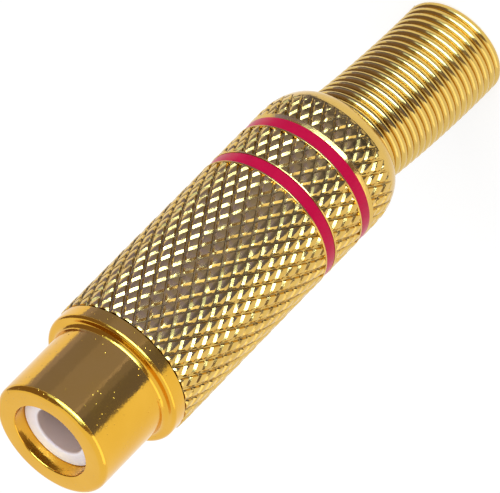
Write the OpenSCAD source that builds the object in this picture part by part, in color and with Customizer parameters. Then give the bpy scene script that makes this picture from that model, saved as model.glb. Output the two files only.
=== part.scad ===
// Female phono socket for a cable end, gold plated, with a screw-on knurled barrel and a coiled strain relief.
// It stands on the ground end of its spring: Z runs up the axis, the mating face is on top, the origin is at the foot.
// All sizes are in millimetres. Diameters are built from the plug's pin outwards, wall by wall and fit by fit, so a
// wall that grows moves everything around it. Heights are stacked up from the foot.

/* [Plug and contact] */
// Diameter of the plug's centre pin
pin_d = 3.2; // [2.6:0.1:4]
// Wall of the contact's slotted tube
contact_wall = 0.25; // [0.15:0.05:0.4]
// Depth of the contact's bore
contact_bore_len = 5.75; // [4:0.25:7]
// Length of the slots
slot_len = 4; // [2:0.25:5]
// Width of the slots
slot_w = 0.35; // [0.2:0.05:0.5]
// Length of the thick part that is pushed into the insulator
push_len = 4.6; // [3:0.1:5.5]
// Outside diameter of the solder cup
cup_d = 2.4; // [2:0.1:3]
// Wall of the solder cup
cup_wall = 0.35; // [0.2:0.05:0.5]
// Length of the shank and solder cup behind the insulated part
cup_len = 4; // [3.5:0.25:6]
// Depth of the cup's bore
cup_depth = 3.3; // [2:0.1:3.5]
// Length of the cup that is cut half open
cup_open = 2; // [1:0.1:3]

/* [Insulator] */
// Wall of the insulator round the contact
stem_wall = 0.68; // [0.4:0.02:1]
// Thickness of the insulator's front wall
front_wall = 1.6; // [1:0.1:3]
// How deep the insulator's face lies in the mouth
face_recess = 0.95; // [0.1:0.05:2]
// Wall of the collar that passes through the tag
collar_wall = 0.4; // [0.3:0.05:0.6]
// Length of that collar, from the tag's front face
collar_len = 0.9; // [0.5:0.05:1.5]

/* [Nose and flange] */
// Wall of the nose; 1.45 gives the standard 8.3 outside diameter, which a plug's collar grips
nose_wall = 1.45; // [1:0.05:1.75]
// Length of the nose in front of the flange
nose_len = 6; // [5:0.1:9]
// Rounding of the nose's front edge
nose_round = 0.4; // [0.1:0.05:0.6]
// Fillet where the nose meets the flange
root_fillet = 0.35; // [0.05:0.05:0.4]
// Thickness of the flange
flange_t = 1.1; // [0.6:0.1:2]
// How far the flange stays inside the barrel's outline
flange_step = 0.12; // [0:0.02:0.2]
// Rounding of the flange's front edge
flange_round = 0.25; // [0.05:0.05:0.25]

/* [Thread and tail] */
// Pitch of the thread, which is drawn as a plain cylinder
thread_pitch = 0.75; // [0.5:0.05:1]
// Turns of thread, which is also how many turns the barrel takes to come off
thread_turns = 6; // [4:0.5:8]
// How far the thread stands above the spigot behind it
thread_step = 0.7; // [0.5:0.05:1]
// Length of the undercut between flange and thread
relief_len = 0.4; // [0.2:0.1:1]
// Depth of the undercut
relief_depth = 0.5; // [0.3:0.05:0.6]
// Length of the plain spigot behind the thread
spigot_len = 1.25; // [0.8:0.05:2]
// Wall of the spigot
spigot_wall = 0.3; // [0.2:0.05:0.5]
// Depth of the rear recess for the insulator's shoulder and the tag, lip included
recess_len = 2.85; // [2.2:0.05:4]
// How far the lip is rolled in over the tag
lip_w = 0.25; // [0.15:0.01:0.35]
// Thickness of the rolled lip
lip_t = 0.4; // [0.2:0.05:0.6]

/* [Ground tag] */
// Thickness of the tag's sheet
tag_t = 0.35; // [0.2:0.05:0.5]
// Width of the tag's tongue
tongue_w = 2.2; // [1.6:0.1:2.6]
// Length of the tongue, from the washer to the end of the cable clamp
tongue_len = 9.5; // [8:0.5:11]
// Length of the cable clamp's wings
clamp_len = 3.6; // [2:0.1:4.5]
// How far the open wings reach past the axis
wing_reach = 1.4; // [0.8:0.1:2]
// Rounding of the wings' corners
wing_round = 0.7; // [0.2:0.1:0.8]
// Diameter of the solder hole in the tongue
tag_hole_d = 1.1; // [0.8:0.1:1.4]

/* [Insulating sleeve] */
// Wall of the plastic sleeve over the solder joints
sleeve_wall = 0.2; // [0.1:0.05:0.25]

/* [Barrel] */
// Wall of the barrel over its thread, up to the knurl's crests
barrel_wall = 0.72; // [0.6:0.02:2]
// Length of the barrel
barrel_len = 22.6; // [18:0.1:30]
// How much narrower the bore is behind the thread, on the radius
bore_step = 0.1; // [0.05:0.05:0.3]
// How far the barrel's thread runs on past the male one
thread_spare = 0.3; // [0.1:0.1:1]
// Edge chamfer at the barrel's front and the flange's back
seam_chamfer = 0.12; // [0.05:0.01:0.3]
// Length of the rounded rear shoulder
shoulder_len = 2.7; // [1:0.05:3]
// Width of the flat ring round the rear hole
rear_land = 0.13; // [0.1:0.01:0.5]
// Thickness of the rear wall that holds the spring
rear_wall = 1.4; // [0.8:0.1:2.5]
// Height of the tapered seat inside the rear wall, left by the drill
seat_taper = 0.3; // [0.1:0.05:0.8]

/* [Colour rings] */
// Width of each enamelled ring
ring_w = 0.85; // [0.5:0.05:1.5]
// Depth of the ring's groove
groove_depth = 0.3; // [0.1:0.05:0.4]
// How far the enamel lies below the knurl's crests
ring_sink = 0.05; // [0:0.01:0.15]
// Distance of the rear ring's middle from the barrel's rear face
ring_rear_at = 4.2; // [3.5:0.05:8]
// Distance between the middles of the two rings
ring_spacing = 3.65; // [2:0.05:5]

/* [Strain spring] */
// Wire diameter
wire_d = 0.58; // [0.4:0.02:0.7]
// Gap between one turn and the next, along the axis
turn_gap = 0.01; // [0.01:0.01:0.2]
// How much wider the caught end turn is than the spring, on the radius
base_step = 0.5; // [0.35:0.05:0.8]
// Length of the spring outside the barrel
spring_out = 11.3; // [8:0.1:20]
// Turns wound at the full width at the caught end
base_turns = 0.75; // [0.5:0.05:1]
// Turns over which the wire winds in from the wide end
taper_turns = 0.6; // [0.4:0.05:0.8]
// Part of the wire's radius by which the outer end starts below the ground face
grind_depth = 0.5; // [0.2:0.05:0.6]
// How far the outer end has sagged off the axis, toward -X; 0 makes the spring straight
spring_sag = 0.75; // [0:0.05:1]

/* [Fits] */
// Radial clearance of parts pushed together for good
push_fit = 0.02; // [0.01:0.01:0.03]
// Radial clearance of the plug's pin in the contact
pin_clear = 0.02; // [0.01:0.01:0.05]
// Radial room in which the contact's fingers spread
finger_room = 0.13; // [0.1:0.01:0.3]
// Gap in front of the contact's fingers
finger_gap = 0.1; // [0.05:0.05:0.3]
// Radial clearance of the pin in the insulator's face
face_clear = 0.1; // [0.05:0.05:0.3]
// Radial clearance of the tag's hole round the insulator's collar
tag_clear = 0.05; // [0.02:0.01:0.15]
// Radial clearance of the tag's tongue in the rolled lip
tongue_clear = 0.04; // [0.02:0.01:0.1]
// Radial running clearance of the barrel's thread
thread_clear = 0.04; // [0.02:0.01:0.08]
// Radial clearance of the spring's wide turn in the barrel's bore
base_clear = 0.1; // [0.05:0.01:0.3]
// Radial clearance of the spring in the barrel's rear hole
spring_clear = 0.15; // [0.1:0.01:0.3]
// Gap that stays between barrel and flange when the barrel is screwed home
seam = 0.04; // [0.02:0.01:0.1]
// Gap between the spring's caught turn and what lies on either side of it
seat_gap = 0.12; // [0.1:0.01:0.3]

/* [Hidden] */
$fn = 96;
eps = 0.01;
wire_sides = 8;
wire_steps = 20;
arc_steps = 6;
shoulder_steps = 10;
thread_chamfer = 0.3;
spigot_round = 0.2;
mouth_chamfer = 0.08;
hole_chamfer = 0.12;
cup_chamfer = 0.1;

// Radii, from the pin outwards
contact_in_r = pin_d / 2 + pin_clear;
contact_r = contact_in_r + contact_wall;
cavity_r = contact_r + finger_room;
face_hole_r = pin_d / 2 + face_clear;
mouth_r = cavity_r + stem_wall + push_fit;
nose_r = mouth_r + nose_wall;
collar_r = cavity_r + collar_wall;
tag_in_r = collar_r + tag_clear;
tag_out_r = tag_in_r + tag_t;
lip_r = norm([tag_out_r, tongue_w / 2]) + tongue_clear;
recess_r = lip_r + lip_w;
spigot_r = recess_r + spigot_wall;
sleeve_r = spigot_r + push_fit;
thread_bore_r = spigot_r + thread_step;
thread_r = thread_bore_r - thread_clear;
relief_r = thread_r - relief_depth;
barrel_r = thread_bore_r + barrel_wall;
flange_r = barrel_r - flange_step;
groove_r = barrel_r - groove_depth;
bore_r = thread_bore_r - bore_step;
base_r = bore_r - base_clear;
spring_r = base_r - base_step;
rear_hole_r = spring_r + spring_clear;
rear_face_r = rear_hole_r + rear_land;
root_r = min(root_fillet, (flange_r - nose_r) / 2);
wire_r = wire_d / 2;
spring_pitch = wire_d + turn_gap;

// Heights, from the foot of the spring upwards
z_rear = spring_out;
z_front = z_rear + barrel_len;
z_flange = z_front + seam;
z_nose = z_flange + flange_t;
z_mouth = z_nose + nose_len;
z_thread_top = z_flange - relief_len;
z_thread_low = z_thread_top - thread_turns * thread_pitch;
z_tail = z_thread_low - spigot_len;
z_recess = z_tail + recess_len;
z_tag = z_tail + lip_t;
z_shoulder = z_tag + tag_t;
z_tongue = z_shoulder - tongue_len;
z_face = z_mouth - face_recess;
z_cavity = z_face - front_wall;
z_fingers = z_cavity - finger_gap;
z_push = z_shoulder + push_len;
z_cup = z_shoulder - cup_len;
z_seat = z_rear + rear_wall;
z_bend = z_rear + rear_wall / 2;
z_spring_top = z_seat + seat_taper + seat_gap + wire_d + base_turns * spring_pitch;
z_sleeve = z_spring_top + seat_gap;

// Points on an arc about [x, z], from angle a0 to a1
function arc(x, z, r, a0, a1) =
  [for (i = [0:arc_steps]) let (a = a0 + (a1 - a0) * i / arc_steps) [x + r * cos(a), z + r * sin(a)]];

// Height of a colour ring's middle: 0 for the front one and 1 for the rear one
function ring_z(i) = z_rear + ring_rear_at + (1 - i) * ring_spacing;

// A ring of rectangular section
module band(r_in, r_out, z_low, z_high)
  rotate_extrude() translate([r_in, z_low]) square([r_out - r_in, z_high - z_low]);

// Nose, flange, threaded tail and rolled lip are turned from one bar
module socket_shell() color("#E2AE43") rotate_extrude() polygon(concat(
  [[lip_r, z_tail]],
  arc(spigot_r - spigot_round, z_tail + spigot_round, spigot_round, -90, 0),
  [[spigot_r, z_thread_low],
   [thread_r - thread_chamfer, z_thread_low],
   [thread_r, z_thread_low + thread_chamfer],
   [thread_r, z_thread_top - thread_chamfer],
   [thread_r - thread_chamfer, z_thread_top],
   [relief_r, z_thread_top],
   [relief_r, z_flange],
   [flange_r - seam_chamfer, z_flange],
   [flange_r, z_flange + seam_chamfer]],
  arc(flange_r - flange_round, z_nose - flange_round, flange_round, 0, 90),
  arc(nose_r + root_r, z_nose + root_r, root_r, -90, -180),
  arc(nose_r - nose_round, z_mouth - nose_round, nose_round, 0, 90),
  [[mouth_r + mouth_chamfer, z_mouth],
   [mouth_r, z_mouth - mouth_chamfer],
   [mouth_r, z_recess],
   [recess_r, z_recess],
   [recess_r, z_tag],
   [lip_r, z_tag]]
));

// White moulding that holds the contact in the middle; its shoulder is trapped behind the rolled lip
module insulator() color("#EFECEA") rotate_extrude() polygon([
  [cavity_r, z_shoulder - collar_len],
  [collar_r, z_shoulder - collar_len],
  [collar_r, z_shoulder],
  [recess_r - push_fit, z_shoulder],
  [recess_r - push_fit, z_recess],
  [mouth_r - push_fit, z_recess],
  [mouth_r - push_fit, z_face],
  [face_hole_r + hole_chamfer, z_face],
  [face_hole_r, z_face - hole_chamfer],
  [face_hole_r, z_cavity],
  [cavity_r, z_cavity]
]);

// Slotted spring tube for the plug's pin, pushed into the insulator, with a solder cup behind
module centre_contact() color("#E6B54E") difference() {
  rotate_extrude() polygon([
    [0, z_cup],
    [cup_d / 2 - cup_chamfer, z_cup],
    [cup_d / 2, z_cup + cup_chamfer],
    [cup_d / 2, z_shoulder],
    [cavity_r - push_fit, z_shoulder],
    [cavity_r - push_fit, z_push],
    [contact_r, z_push + cup_chamfer],
    [contact_r, z_fingers],
    [contact_in_r + contact_wall / 2, z_fingers],
    [contact_in_r, z_fingers - contact_wall],
    [contact_in_r, z_fingers - contact_bore_len],
    [0, z_fingers - contact_bore_len]
  ]);
  for (turn = [45, 135])
    rotate([0, 0, turn])
      translate([-contact_r - eps, -slot_w / 2, z_fingers - slot_len])
        cube([2 * contact_r + 2 * eps, slot_w, slot_len + eps]);
  translate([0, 0, z_cup - eps]) cylinder(r = cup_d / 2 - cup_wall, h = cup_depth + eps);
  translate([-cup_d, -cup_d, z_cup - eps]) cube([2 * cup_d, cup_d, cup_open + eps]);
}

// Section of the open cable clamp: half round over the axis, with straight wings
module clamp_section() difference() {
  union() {
    circle(r = tag_out_r);
    translate([-tag_out_r, -wing_reach]) square([2 * tag_out_r, wing_reach]);
  }
  circle(r = tag_in_r);
  translate([-tag_in_r, -2 * tag_in_r]) square([2 * tag_in_r, 2 * tag_in_r]);
}

// Side outline of the clamp, which rounds the free corners of its wings
module clamp_outline() {
  translate([-wing_reach + wing_round, z_tongue])
    square([wing_reach - wing_round + tag_out_r + eps, clamp_len]);
  translate([-wing_reach, z_tongue + wing_round])
    square([wing_round + eps, clamp_len - 2 * wing_round]);
  for (z = [z_tongue + wing_round, z_tongue + clamp_len - wing_round])
    translate([-wing_reach + wing_round, z]) circle(r = wing_round);
}

// Tinned washer with a tongue and a cable clamp, stamped and folded from one sheet
module ground_tag() color("#C9C6BD") {
  band(tag_in_r, recess_r - push_fit, z_tag, z_shoulder);
  difference() {
    translate([-tongue_w / 2, tag_in_r, z_tongue + clamp_len - eps])
      cube([tongue_w, tag_t, tongue_len - clamp_len + eps]);
    translate([0, tag_in_r - eps, (z_cup + z_tongue + clamp_len) / 2])
      rotate([-90, 0, 0]) cylinder(d = tag_hole_d, h = tag_t + 2 * eps);
  }
  intersection() {
    translate([0, 0, z_tongue]) linear_extrude(clamp_len) clamp_section();
    translate([-2 * tag_in_r, 0, 0]) rotate([90, 0, 90]) linear_extrude(4 * tag_in_r) clamp_outline();
  }
}

// Clear tube that keeps the solder joints off the barrel and holds the spring's wide turn in its seat
module insulating_sleeve() color("#D9DDD8", 0.5)
  band(sleeve_r, sleeve_r + sleeve_wall, z_sleeve, z_thread_low - push_fit);

// Screw-on handle: bored and threaded from the front, with a rounded end that holds the spring
module barrel() color("#D9A441") difference() {
  z_thread_end = z_thread_low - thread_spare;
  rotate_extrude() polygon(concat(
    [[rear_hole_r, z_rear]],
    [for (i = [0:shoulder_steps]) let (a = 90 * i / shoulder_steps)
      [rear_face_r + (barrel_r - rear_face_r) * sin(a), z_rear + shoulder_len * (1 - cos(a))]],
    [[barrel_r, z_front - seam_chamfer],
     [barrel_r - seam_chamfer, z_front],
     [thread_bore_r, z_front],
     [thread_bore_r, z_thread_end],
     [bore_r, z_thread_end],
     [bore_r, z_seat + seat_taper],
     [rear_hole_r, z_seat]]
  ));
  for (i = [0, 1])
    band(groove_r, barrel_r + eps, ring_z(i) - ring_w / 2 - push_fit, ring_z(i) + ring_w / 2 + push_fit);
}

// Enamel that fills one groove
module colour_ring(i)
  band(groove_r + push_fit, barrel_r - ring_sink, ring_z(i) - ring_w / 2, ring_z(i) + ring_w / 2);

module front_colour_ring() color("#D0104A") colour_ring(0);

module rear_colour_ring() color("#D0104A") colour_ring(1);

// The wire's centre starts below the ground face and climbs one pitch a turn to the wide end
wire_z0 = -grind_depth * wire_r;
spring_turns = (z_spring_top - wire_r - wire_z0) / spring_pitch;
wire_rings = ceil(spring_turns * wire_steps);

// How wide the coil is at a given turn: 0 for the body of the spring and 1 for the wide end
function flare(turn) = min(1, max(0, 1 - (spring_turns - turn - base_turns) / taper_turns));

// Radius of the coil's centre line at a given turn, with a soft start and end of the taper
function coil_r(turn) = let (f = flare(turn)) spring_r - wire_r + base_step * f * f * (3 - 2 * f);

// How far the turn at height z has slipped sideways: nothing inside the barrel and most at the foot
function sag(z) = spring_sag * max(0, 1 - pow(z / z_bend, 2));

// One wire, close wound: its outer end is ground flat and its inner end is a wide turn caught in the barrel
module strain_spring() color("#D8A648") {
  points = [for (i = [0:wire_rings]) let (turn = spring_turns * i / wire_rings)
    for (k = [0:wire_sides - 1])
      let (side = 360 * k / wire_sides, r = coil_r(turn) + wire_r * cos(side),
           climb = wire_z0 + spring_pitch * turn)
        [r * cos(360 * turn) - sag(max(0, climb)), r * sin(360 * turn), max(0, climb + wire_r * sin(side))]];
  walls = [for (i = [0:wire_rings - 1], k = [0:wire_sides - 1])
    let (a = i * wire_sides + k, b = i * wire_sides + (k + 1) % wire_sides)
      each [[a, b, a + wire_sides], [b, b + wire_sides, a + wire_sides]]];
  tip = wire_sides / 4;
  first_cap = [for (k = [1:wire_sides - 2]) [tip, (tip + k + 1) % wire_sides, (tip + k) % wire_sides]];
  last = wire_rings * wire_sides;
  last_cap = [for (k = [1:wire_sides - 2]) [last, last + k, last + k + 1]];
  polyhedron(points, concat(walls, first_cap, last_cap));
}

socket_shell();
insulator();
centre_contact();
ground_tag();
insulating_sleeve();
barrel();
front_colour_ring();
rear_colour_ring();
strain_spring();
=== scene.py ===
# %% [markdown]
# A gold-plated phono socket for the end of a cable.
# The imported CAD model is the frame: it fixes every size, place and joint. This script gives it its looks.
# The knurled barrel, the coiled spring and the threaded shell get finer shapes in the same places, and
# every piece gets the finish of the real one. The connector stands on the ground end of its spring, with
# the mating face on top.

# %% Load the frame
import math

import bmesh
import bpy
from mathutils import Matrix, Vector, noise


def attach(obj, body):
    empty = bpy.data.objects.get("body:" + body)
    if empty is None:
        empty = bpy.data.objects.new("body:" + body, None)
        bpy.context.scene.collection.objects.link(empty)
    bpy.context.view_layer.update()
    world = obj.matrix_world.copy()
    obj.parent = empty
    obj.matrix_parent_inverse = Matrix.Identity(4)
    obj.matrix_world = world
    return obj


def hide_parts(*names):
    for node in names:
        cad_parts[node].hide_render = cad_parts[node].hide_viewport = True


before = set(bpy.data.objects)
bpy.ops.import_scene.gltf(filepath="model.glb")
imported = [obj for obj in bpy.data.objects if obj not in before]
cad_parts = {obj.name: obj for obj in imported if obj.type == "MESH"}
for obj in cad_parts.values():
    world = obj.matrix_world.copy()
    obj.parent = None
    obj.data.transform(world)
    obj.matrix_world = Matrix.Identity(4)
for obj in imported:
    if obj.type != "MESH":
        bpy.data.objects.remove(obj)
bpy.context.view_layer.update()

# %% [markdown]
# Lengths are written in millimetres, because the connector is 41 mm long, and turned to metres in one
# place. The camera's place and lens were fitted to the connector's outline in the photograph: a long lens,
# 394 mm from the nose, looking down on the connector by 31 degrees. It is rolled so far that the connector
# seems to lie on its side, with its nose to the left of and below the middle of the picture.

# %% Camera
MM = 0.001
FRAME_WIDTH_PX = 500
FOCAL_PX = 6534.4
FILM_WIDTH = 36
CAMERA_DISTANCE = 393.78
CAMERA_ELEVATION = math.radians(31.18)
CAMERA_ROLL_SIN, CAMERA_ROLL_COS = -0.6997, -0.7145
NOSE_TOP = Vector((0, 0, 41.04))
NOSE_IN_VIEW = (-12.078, -11.762)

level = Vector((1, 0, 0))
upward = Vector((0, math.sin(CAMERA_ELEVATION), math.cos(CAMERA_ELEVATION)))
towards_camera = Vector((0, -math.cos(CAMERA_ELEVATION), math.sin(CAMERA_ELEVATION)))
view_right = CAMERA_ROLL_COS * level + CAMERA_ROLL_SIN * upward
view_up = -CAMERA_ROLL_SIN * level + CAMERA_ROLL_COS * upward
eye = (NOSE_TOP - NOSE_IN_VIEW[0] * view_right - NOSE_IN_VIEW[1] * view_up
       + CAMERA_DISTANCE * towards_camera)

camera_data = bpy.data.cameras.new("photo_camera")
camera_data.sensor_width = FILM_WIDTH
camera_data.lens = FOCAL_PX / FRAME_WIDTH_PX * FILM_WIDTH
camera_data.clip_start = 0.01
camera = bpy.data.objects.new("photo_camera", camera_data)
bpy.context.scene.collection.objects.link(camera)
camera.matrix_world = Matrix((
    (view_right.x, view_up.x, towards_camera.x, eye.x * MM),
    (view_right.y, view_up.y, towards_camera.y, eye.y * MM),
    (view_right.z, view_up.z, towards_camera.z, eye.z * MM),
    (0, 0, 0, 1),
))
bpy.context.scene.camera = camera
bpy.context.scene.view_settings.view_transform = "Standard"
print("lens, mm", round(camera_data.lens, 1), "camera at, mm", [round(value, 1) for value in eye])

# %% [markdown]
# Colours are picked as they look on a screen, as sRGB hex values. Blender reckons in linear light, so one
# function turns each value to linear. One small helper adds a node, sets it up and joins it to others, so
# that a material reads from top to bottom like a recipe.


# %% Colour and node helpers
MATH = "ShaderNodeMath"


def linear(hex_colour):
    """Turns an sRGB hex colour to linear red, green, blue and an alpha of 1."""
    parts = [int(hex_colour[i:i + 2], 16) / 255 for i in (1, 3, 5)]
    return [p / 12.92 if p <= 0.04045 else ((p + 0.055) / 1.055) ** 2.4 for p in parts] + [1]


def set_inputs(tree, node, inputs):
    """Sets inputs to plain values, or links them to a socket or to the first output of a node."""
    for key, value in inputs.items():
        if isinstance(value, bpy.types.Node):
            value = value.outputs[0]
        if isinstance(value, bpy.types.NodeSocket):
            tree.links.new(value, node.inputs[key])
        else:
            node.inputs[key].default_value = value


def add_node(tree, kind, inputs=None, **settings):
    """Adds a node with its inputs and its settings."""
    new = tree.nodes.new(kind)
    for key, value in settings.items():
        setattr(new, key, value)
    set_inputs(tree, new, inputs or {})
    return new


def new_material(name):
    """Starts a material. Returns it, its node tree, its Principled shader and the place on the object."""
    material = bpy.data.materials.new(name)
    material.use_nodes = True
    tree = material.node_tree
    place = add_node(tree, "ShaderNodeTexCoord").outputs["Object"]
    return material, tree, tree.nodes["Principled BSDF"], place


print("gold in linear light", [round(value, 3) for value in linear("#E8B040")])

# %% [markdown]
# Gold plating is less than a thousandth of a millimetre of gold over bright nickel, so it shows all that
# was there before: the fine rings that the lathe left, a faint orange-peel unevenness, and a few pits. The
# pattern's scale is worked out from real sizes: the tool left a ring about every 0.12 mm, and the
# unevenness is about 0.3 mm across. Both are slight bumps. The roughness wanders a little, as handling
# leaves it. The bottoms of the knurl's grooves look darker and duller in the photograph, so a second
# function paints shade into their colour by the groove's depth and makes them rougher there.


# %% Gold plating
LATHE_RING, PEEL_SIZE, PATCH_SIZE, PIT_STEP = 0.12, 0.3, 2.2, 0.3
FINE_RELIEF, COARSE_RELIEF = 0.01, 0.02


def gold_plating(name, bright, deep, roughness, ring_bump, peel_bump, pit_bump=0.0):
    """Polished gold over turned metal, with rings round the Z axis, a faint orange peel and some pits."""
    material, tree, shader, place = new_material(name)
    peel = add_node(tree, "ShaderNodeTexNoise",
                    {"Vector": place, "Scale": 1 / (PEEL_SIZE * MM), "Detail": 3.0, "Roughness": 0.55})
    patches = add_node(tree, "ShaderNodeTexNoise",
                       {"Vector": place, "Scale": 1 / (PATCH_SIZE * MM), "Detail": 2.0})
    height = add_node(tree, "ShaderNodeSeparateXYZ", {0: place}).outputs["Z"]
    ring_place = add_node(tree, MATH, {0: height, 1: 1 / (LATHE_RING * MM)}, operation="MULTIPLY")
    rings = add_node(tree, "ShaderNodeTexNoise",
                     {"W": ring_place, "Scale": 1.0, "Detail": 1.0}, noise_dimensions="1D")
    tint = add_node(tree, "ShaderNodeMix",
                    {0: patches.outputs["Fac"], 6: linear(bright), 7: linear(deep)}, data_type="RGBA")
    shine = add_node(tree, "ShaderNodeMapRange",
                     {"Value": patches.outputs["Fac"], "From Min": 0.3, "From Max": 0.7,
                      "To Min": roughness * 0.75, "To Max": roughness * 1.3})
    relief = add_node(tree, "ShaderNodeBump",
                      {"Height": rings.outputs["Fac"], "Strength": ring_bump, "Distance": FINE_RELIEF * MM})
    relief = add_node(tree, "ShaderNodeBump",
                      {"Height": peel.outputs["Fac"], "Strength": peel_bump, "Distance": COARSE_RELIEF * MM,
                       "Normal": relief})
    spots = add_node(tree, "ShaderNodeTexVoronoi", {"Vector": place, "Scale": 1 / (PIT_STEP * MM)})
    spot = add_node(tree, "ShaderNodeMapRange",
                    {"Value": spots.outputs["Distance"], "From Max": 0.15, "To Min": 1.0, "To Max": 0.0})
    where = add_node(tree, "ShaderNodeMapRange",
                     {"Value": patches.outputs["Fac"], "From Min": 0.45, "From Max": 0.52})
    pit = add_node(tree, MATH, {0: spot, 1: where}, operation="MULTIPLY")
    relief = add_node(tree, "ShaderNodeBump",
                      {"Height": pit, "Strength": pit_bump, "Distance": COARSE_RELIEF * MM, "Normal": relief},
                      invert=True)
    set_inputs(tree, shader, {
        "Base Color": tint.outputs[2], "Metallic": 1.0, "Roughness": shine, "Normal": relief})
    return material


def shade_and_dull_grooves(material):
    """Paints shade into a plating's colour and dulls it by the attribute groove_depth, 0 on top and 1 at the
    bottom of a groove.
    """
    tree = material.node_tree
    shader = tree.nodes["Principled BSDF"]
    clean_colour = shader.inputs["Base Color"].links[0].from_socket
    clean_shine = shader.inputs["Roughness"].links[0].from_socket
    depth = add_node(tree, "ShaderNodeAttribute", attribute_name="groove_depth").outputs["Fac"]
    share = add_node(tree, "ShaderNodeMapRange", {"Value": depth, "From Min": 0.8, "From Max": 1.0})
    # Painted shade: the bottoms of the grooves are darkened towards brown.
    colour = add_node(tree, "ShaderNodeMix",
                      {0: share, 6: clean_colour, 7: linear("#9C7F48")}, data_type="RGBA")
    shine = add_node(tree, "ShaderNodeMix", {0: share, 2: clean_shine, 3: 0.35}, data_type="FLOAT")
    set_inputs(tree, shader, {"Base Color": colour.outputs[2], "Roughness": shine})


polished_gold = gold_plating("polished_gold_plating", "#ECB744", "#E0A934",
                             roughness=0.13, ring_bump=0.35, peel_bump=0.4, pit_bump=1.0)
knurl_gold = gold_plating("knurled_gold_plating", "#E3BE66", "#D3AC56",
                          roughness=0.16, ring_bump=0.0, peel_bump=0.6)
shade_and_dull_grooves(knurl_gold)
wire_gold = gold_plating("gold_plated_spring_wire", "#DDBB66", "#D3AF5B",
                         roughness=0.14, ring_bump=0.0, peel_bump=0.3)
contact_gold = gold_plating("gold_plated_contact_tube", "#E3B15A", "#D6A348",
                            roughness=0.2, ring_bump=0.4, peel_bump=0.2)
print("gold finishes", [m.name for m in (polished_gold, knurl_gold, wire_gold, contact_gold)])

# %% [markdown]
# The rings are enamel: thick paint that was laid in the turned grooves and stoved. The pigment is crimson
# all through, and the surface is a little uneven, as paint is that has levelled itself. Its reflections are
# set low, because the photograph shows hardly any on the rings.

# %% Crimson enamel
FLOW_SIZE = 0.6

crimson_enamel, tree, shader, place = new_material("crimson_stoved_enamel")
flow = add_node(tree, "ShaderNodeTexNoise", {"Vector": place, "Scale": 1 / (FLOW_SIZE * MM), "Detail": 2.0})
tint = add_node(tree, "ShaderNodeMix",
                {0: flow.outputs["Fac"], 6: linear("#D60247"), 7: linear("#C20040")}, data_type="RGBA")
relief = add_node(tree, "ShaderNodeBump",
                  {"Height": flow.outputs["Fac"], "Strength": 0.3, "Distance": COARSE_RELIEF * MM})
set_inputs(tree, shader, {
    "Base Color": tint.outputs[2], "Normal": relief,
    "Roughness": 0.3, "IOR": 1.45, "Specular IOR Level": 0.15})
print("enamel", crimson_enamel.name)

# %% [markdown]
# The insulator is a white moulding, a heat-proof plastic that a soldering iron doesn't melt at once. Light
# goes a little way into it, so its edges look soft. The mould was spark-eroded, which leaves a very fine
# grain, drawn here at 0.15 mm. The wall of the hole gets painted shade, a brownish grey, so the colour
# changes by the distance from the axis.

# %% White moulded plastic
GRAIN_SIZE = 0.15
FACE_HOLE_R, HOLE_SHADE_R = 1.7, 1.78

white_plastic, tree, shader, place = new_material("white_moulded_plastic")
grain = add_node(tree, "ShaderNodeTexNoise",
                 {"Vector": place, "Scale": 1 / (GRAIN_SIZE * MM), "Detail": 2.0})
tint = add_node(tree, "ShaderNodeMix",
                {0: grain.outputs["Fac"], 6: linear("#F8F2F8"), 7: linear("#F2EBF4")}, data_type="RGBA")
flat = add_node(tree, "ShaderNodeVectorMath", {0: place, 1: (1, 1, 0)}, operation="MULTIPLY")
from_axis = add_node(tree, "ShaderNodeVectorMath", {0: flat}, operation="LENGTH")
# Painted shade: inside the hole's radius the white is turned to a brownish grey.
hole_shade = add_node(tree, "ShaderNodeMapRange",
                  {"Value": from_axis.outputs["Value"], "From Min": FACE_HOLE_R * MM,
                   "From Max": HOLE_SHADE_R * MM, "To Min": 1.0, "To Max": 0.0})
tint = add_node(tree, "ShaderNodeMix",
                {0: hole_shade, 6: tint.outputs[2], 7: linear("#D2BFBB")}, data_type="RGBA")
relief = add_node(tree, "ShaderNodeBump",
                  {"Height": grain.outputs["Fac"], "Strength": 0.25, "Distance": FINE_RELIEF * MM})
set_inputs(tree, shader, {
    "Base Color": tint.outputs[2], "Normal": relief, "Roughness": 0.42, "Subsurface Weight": 0.15,
    "Subsurface Radius": (0.4 * MM, 0.35 * MM, 0.35 * MM), "Subsurface Scale": 1.0})
print("insulator", white_plastic.name)

# %% [markdown]
# The ground tag is stamped from thin sheet and tinned, so that solder takes to it. Tin is a soft grey metal
# with a cloudy, half-dull face. The sleeve over the joints is a clear extruded tube, with fine lines along
# it from the die.

# %% Tin plate and clear tube
CLOUD_SIZE = 0.5
DIE_LINE_WIDTH, DIE_LINE_LENGTH = 0.3, 8

tin_plate, tree, shader, place = new_material("tin_plated_sheet")
clouds = add_node(tree, "ShaderNodeTexNoise",
                  {"Vector": place, "Scale": 1 / (CLOUD_SIZE * MM), "Detail": 4.0})
tint = add_node(tree, "ShaderNodeMix",
                {0: clouds.outputs["Fac"], 6: linear("#D6D4CC"), 7: linear("#B9B7B0")}, data_type="RGBA")
shine = add_node(tree, "ShaderNodeMapRange",
                 {"Value": clouds.outputs["Fac"], "To Min": 0.28, "To Max": 0.5})
set_inputs(tree, shader, {"Base Color": tint.outputs[2], "Metallic": 1.0, "Roughness": shine})

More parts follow.
